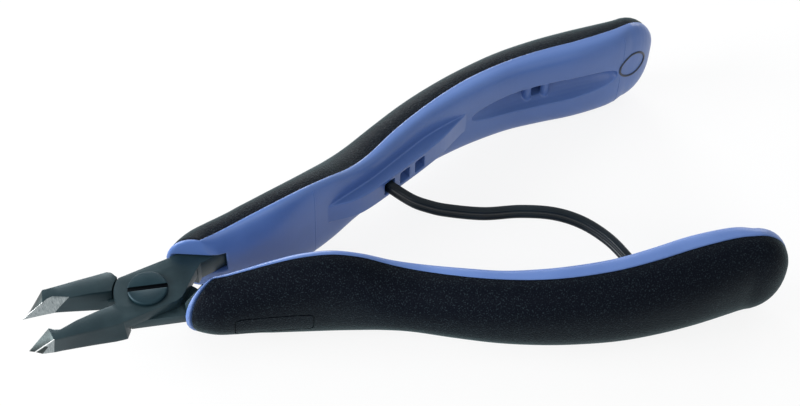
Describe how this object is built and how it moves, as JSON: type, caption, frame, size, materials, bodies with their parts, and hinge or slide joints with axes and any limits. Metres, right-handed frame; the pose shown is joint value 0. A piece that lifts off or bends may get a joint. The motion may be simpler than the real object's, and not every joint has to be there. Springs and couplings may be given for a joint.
{
  "type": "flush cutter",
  "caption": "Hand cutter with a screwed lap joint, angled ground jaws, two moulded handles with soft grips and a curved return spring.",
  "frame": {"origin": "centre of the flush rear face of the pivot screw", "axes": "+X from the jaws to the handle ends, +Z along the pivot towards the screw head, +Y towards the handle that moves"},
  "size_m": [0.1463, 0.0742, 0.0215],
  "materials": {
    "dark_steel": "black oxide, satin, with bright ground cutting faces",
    "screw_steel": "dark, satin",
    "core_blue": "moulded, satin",
    "grip_black": "fine grained, soft",
    "spring_dark": "moulded, satin"
  },
  "bodies": {
    "near_handle": {"near_handle_core": "core_blue", "near_grip": "grip_black", "far_jaw_half": "dark_steel", "pivot_screw": "screw_steel", "return_spring": "spring_dark"},
    "far_handle": {"far_handle_core": "core_blue", "far_grip": "grip_black", "near_jaw_half": "dark_steel"}
  },
  "joints": [
    {"name": "cutter_pivot", "type": "hinge", "parent": "near_handle", "child": "far_handle", "pos_m": [0, 0, 0.0024], "axis": [0, 0, -1], "range_deg": [0, 17.4], "stiffness_Nm_per_rad": 0.6, "deforming": ["return_spring"]}
  ]
}
